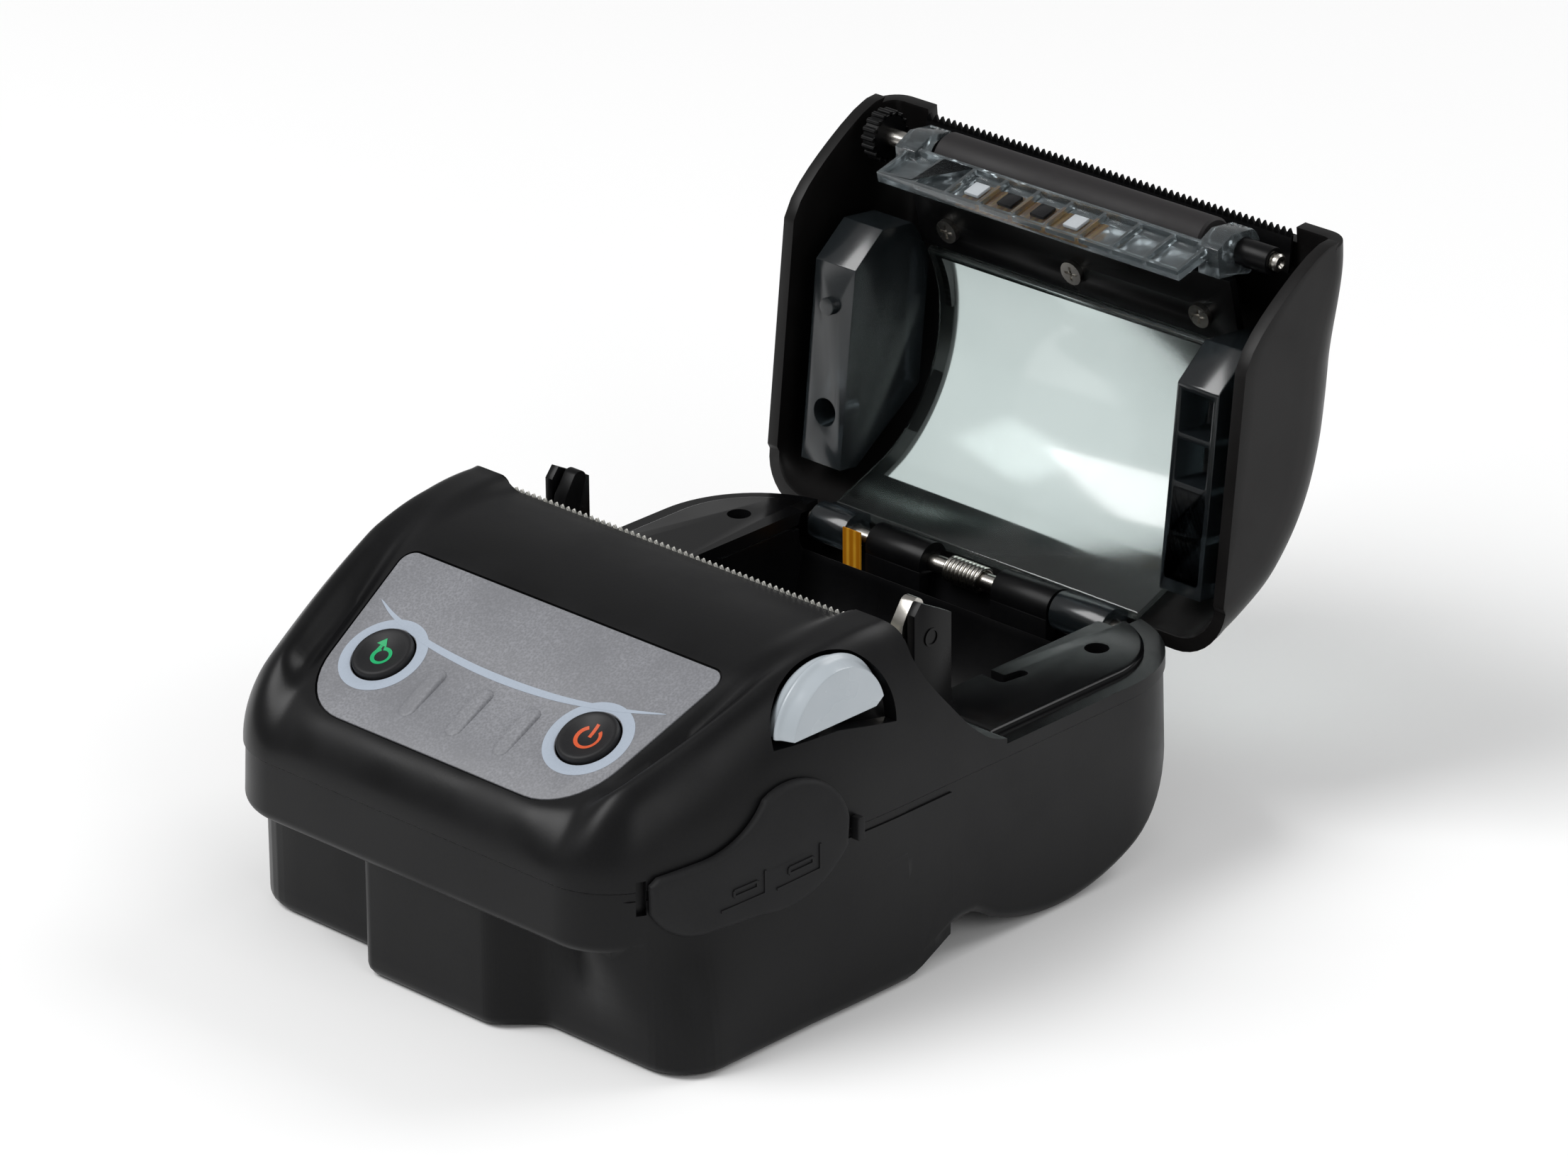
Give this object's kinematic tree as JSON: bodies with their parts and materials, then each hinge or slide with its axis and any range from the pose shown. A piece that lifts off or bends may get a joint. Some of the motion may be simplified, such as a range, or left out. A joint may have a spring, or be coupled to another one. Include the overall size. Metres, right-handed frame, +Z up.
{
  "type": "receipt printer",
  "caption": "Portable receipt printer with a hinged paper cover standing open, a key panel on a sloping hood, a toothed tear bar, a roll bay and a rubber-capped socket bay.",
  "frame": {"origin": "middle of the flat underside that the printer stands on", "axes": "+X to the right seen from the front, +Y from the key panel to the cover hinge, +Z up"},
  "size_m": [0.1034, 0.1615, 0.0927],
  "materials": {
    "black_case": "fine satin texture",
    "black_lid": "fine satin texture",
    "panel_grey": "fine stippled sheet",
    "black_rubber": "soft matt",
    "lever_grey": "satin",
    "clear_window": "clear polycarbonate",
    "smoky_plastic": "smoky, semi clear",
    "black_moulding": "satin moulding",
    "steel": "bright steel",
    "aluminium": "plain",
    "amber_film": "polyimide film",
    "board_green": "solder resist",
    "ceramic_white": "glazed print line",
    "battery_wrap": "shrink wrap",
    "white_sensor": "plain",
    "contact_brass": "plain"
  },
  "bodies": {
    "base": {"lower_case": "black_case", "upper_case": "black_case", "roll_cradle": "black_moulding", "panel_sheet": "panel_grey", "panel_board": "board_green", "key_switches": "black_moulding", "light_guides": "clear_window", "tear_bar": "steel", "mechanism_frame": "black_moulding", "frame_screws": "steel", "stepper_motor": "steel", "gear_pins": "steel", "main_board": "board_green", "usb_socket": "steel", "serial_socket": "black_moulding", "battery_pack": "battery_wrap", "battery_contacts": "contact_brass", "cover_switch": "black_moulding", "case_screws": "steel", "hinge_shaft": "steel", "hinge_knuckles": "black_moulding", "cover_spring": "steel", "cover_flex": "amber_film", "lever_pin": "steel", "cap_tether": "black_rubber", "thermal_head": "ceramic_white", "head_heatsink": "aluminium", "head_spring": "steel"},
    "lid": {"lid_shell": "black_lid", "lid_liner": "clear_window", "lid_knuckles": "smoky_plastic", "lid_frame": "black_moulding", "lid_screws": "steel", "lid_cutter": "black_moulding", "left_roll_guide": "smoky_plastic", "right_roll_guide": "smoky_plastic", "platen_holder": "smoky_plastic", "platen_bushes": "black_moulding", "sensor_flex": "amber_film", "paper_sensors": "white_sensor"},
    "platen": {"platen_roller": "black_rubber", "platen_shaft": "steel", "platen_gear": "black_moulding"},
    "feed_button": {"feed_button": "black_rubber"},
    "power_button": {"power_button": "black_rubber"},
    "open_lever": {"open_lever": "lever_grey"},
    "lock": {"lock_shaft": "steel", "lock_arms": "steel", "lock_spring": "steel"},
    "interface_cap": {"interface_cap": "black_rubber"},
    "motor_pinion": {"motor_pinion": "black_moulding"},
    "reduction_gear": {"reduction_gear": "black_moulding"},
    "output_gear": {"output_gear": "black_moulding"}
  },
  "joints": [
    {"name": "lid_hinge", "type": "hinge", "parent": "base", "child": "lid", "pos_m": [0, 0.0939, 0.0303], "axis": [1, 0, 0], "range_deg": [0, 96.4]},
    {"name": "platen_spin", "type": "hinge", "parent": "lid", "child": "platen", "pos_m": [0, 0.11981, 0.08817], "axis": [1, 0, 0], "continuous": true},
    {"name": "feed_press", "type": "slide", "parent": "base", "child": "feed_button", "axis": [0, 0.4384, -0.8988], "range_m": [0, 0.0008], "stiffness_N_per_m": 800},
    {"name": "power_press", "type": "slide", "parent": "base", "child": "power_button", "axis": [0, 0.4384, -0.8988], "range_m": [0, 0.0008], "stiffness_N_per_m": 800},
    {"name": "lever_turn", "type": "hinge", "parent": "base", "child": "open_lever", "pos_m": [0.046, 0.0113, 0.0465], "axis": [1, 0, 0], "range_deg": [-15, 0], "stiffness_Nm_per_rad": 0.05},
    {"name": "lock_turn", "type": "hinge", "parent": "base", "child": "lock", "pos_m": [0, 0.035, 0.034], "axis": [1, 0, 0], "range_deg": [-7.5, 0]},
    {"name": "cap_hinge", "type": "hinge", "parent": "base", "child": "interface_cap", "pos_m": [0.0515, 0.0117, 0.0315], "axis": [0, 0, 1], "range_deg": [0, 95]},
    {"name": "motor_spin", "type": "hinge", "parent": "base", "child": "motor_pinion", "pos_m": [0, 0.01814, 0.02826], "axis": [1, 0, 0], "continuous": true},
    {"name": "reduction_spin", "type": "hinge", "parent": "base", "child": "reduction_gear", "pos_m": [0, 0.02904, 0.03291], "axis": [1, 0, 0], "continuous": true},
    {"name": "output_spin", "type": "hinge", "parent": "base", "child": "output_gear", "pos_m": [0, 0.03764, 0.03936], "axis": [1, 0, 0], "continuous": true}
  ],
  "couplings": [
    {"joint": "lock_turn", "follows": "lever_turn", "ratio": 0.5},
    {"joint": "reduction_spin", "follows": "motor_spin", "ratio": -0.36364},
    {"joint": "output_spin", "follows": "motor_spin", "ratio": 0.23273}
  ]
}
